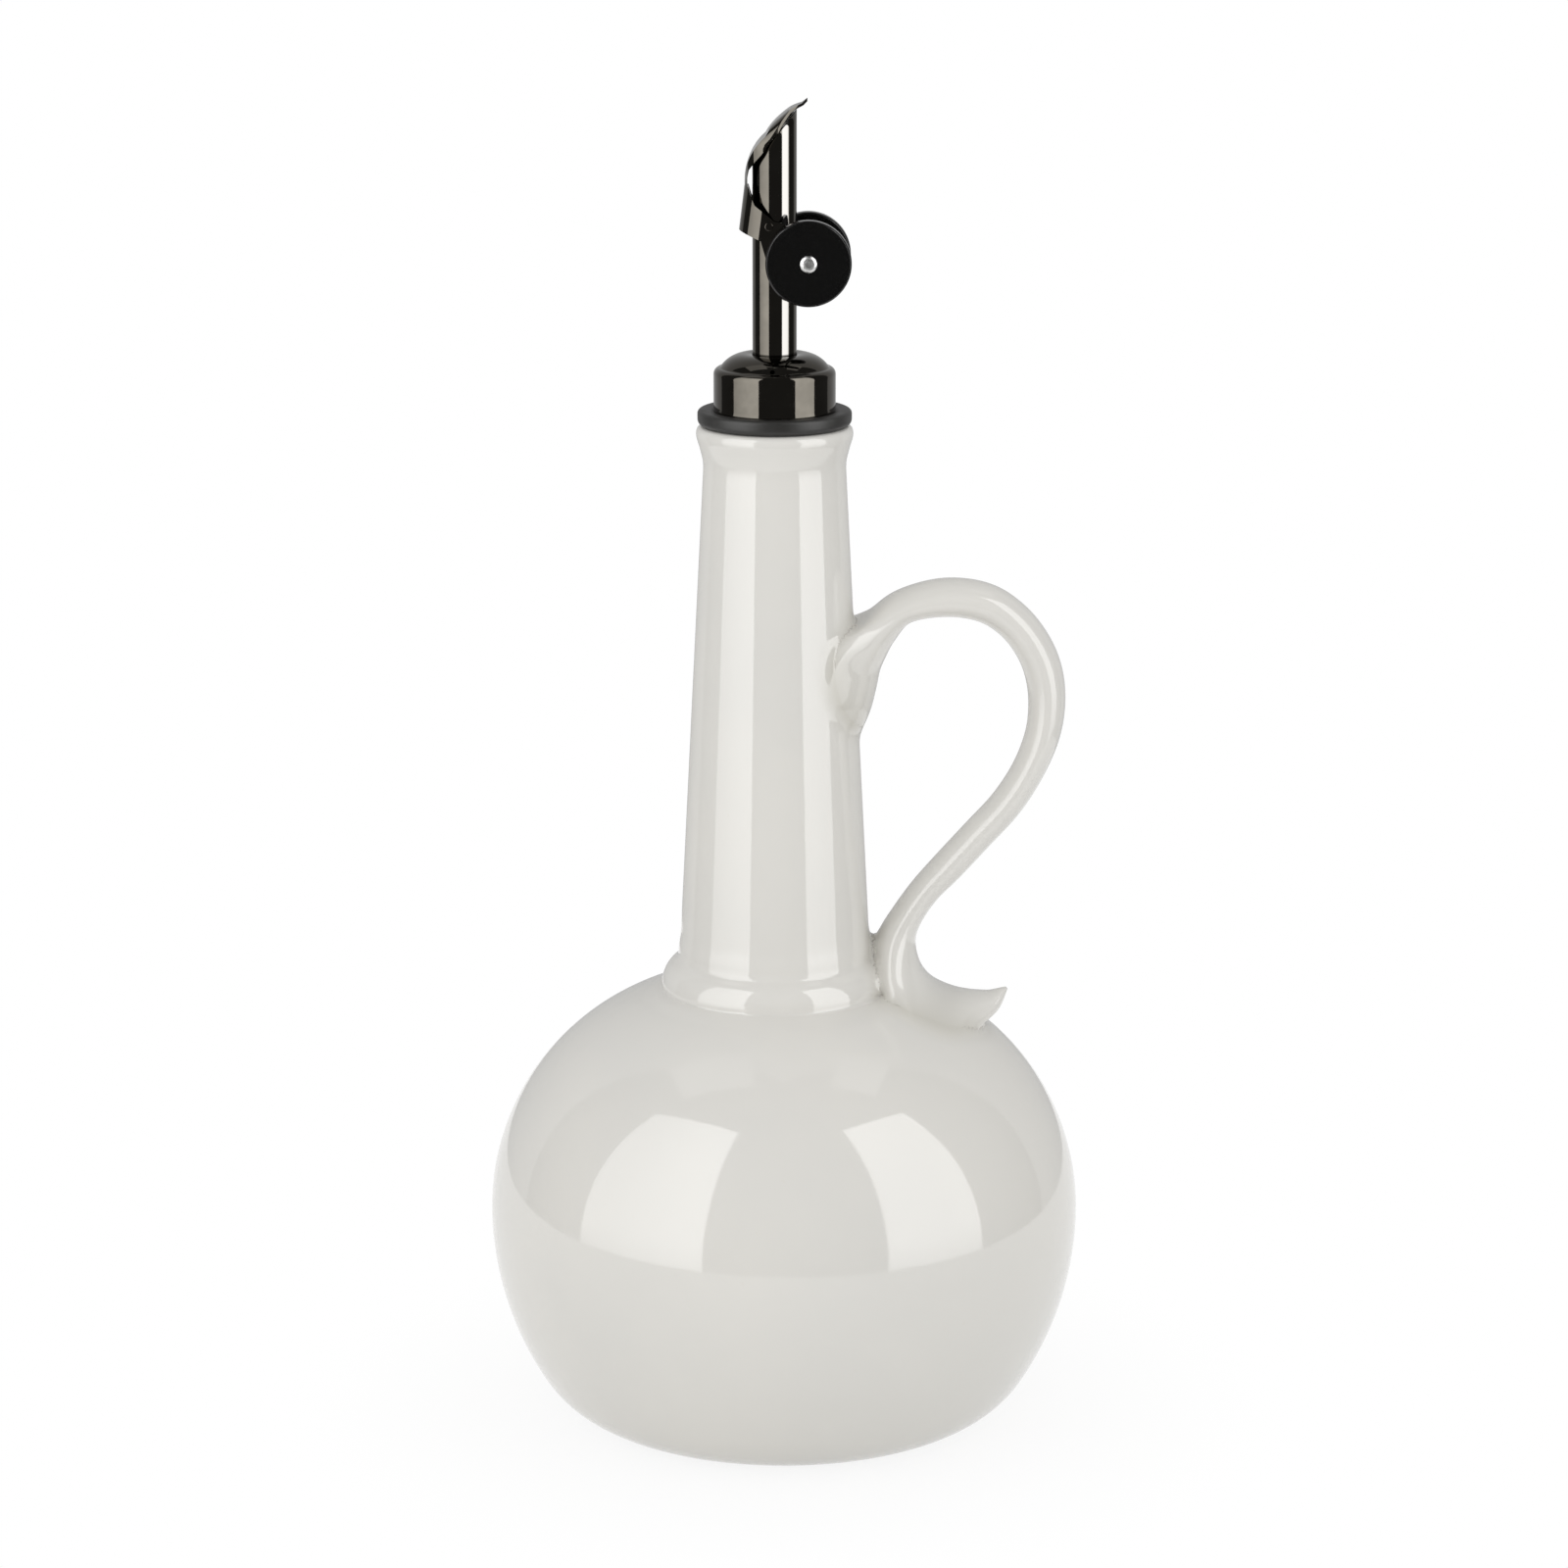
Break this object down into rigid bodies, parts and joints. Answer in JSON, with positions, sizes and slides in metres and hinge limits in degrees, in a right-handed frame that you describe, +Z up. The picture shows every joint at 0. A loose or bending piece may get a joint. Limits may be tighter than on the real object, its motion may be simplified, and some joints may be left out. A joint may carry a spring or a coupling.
{
  "type": "oil cruet",
  "caption": "Glazed ceramic oil bottle with a round belly, a looped side handle and a weighted flip-top pourer.",
  "frame": {"origin": "centre of the foot, on the surface that the bottle stands on", "axes": "+Z up, +X towards the handle and the pouring nib, +Y to the rear"},
  "size_m": [0.11, 0.11, 0.2473],
  "materials": {
    "glaze": "glossy ivory glaze",
    "black_rubber": "satin black rubber",
    "gunmetal": "polished black nickel",
    "black_plastic": "satin black plastic",
    "bright_steel": "bright turned steel"
  },
  "bodies": {
    "bottle": {"bottle": "glaze"},
    "pourer": {"stopper": "black_rubber", "cap": "gunmetal", "pour_tube": "gunmetal", "air_tube": "gunmetal", "hinge_pins": "gunmetal"},
    "flap": {"flap": "gunmetal"},
    "weights": {"front_weight": "black_plastic", "rear_weight": "black_plastic", "weight_rivet": "bright_steel"}
  },
  "joints": [
    {"name": "pourer_pull", "type": "slide", "parent": "bottle", "child": "pourer", "axis": [0, 0, 1], "range_m": [0, 0.05]},
    {"name": "flap_hinge", "type": "hinge", "parent": "pourer", "child": "flap", "pos_m": [-0.0027, 0, 0.2247], "axis": [0, -1, 0], "range_deg": [0, 38]},
    {"name": "weight_spin", "type": "hinge", "parent": "flap", "child": "weights", "pos_m": [0.0044, 0, 0.2183], "axis": [0, 1, 0], "continuous": true}
  ]
}
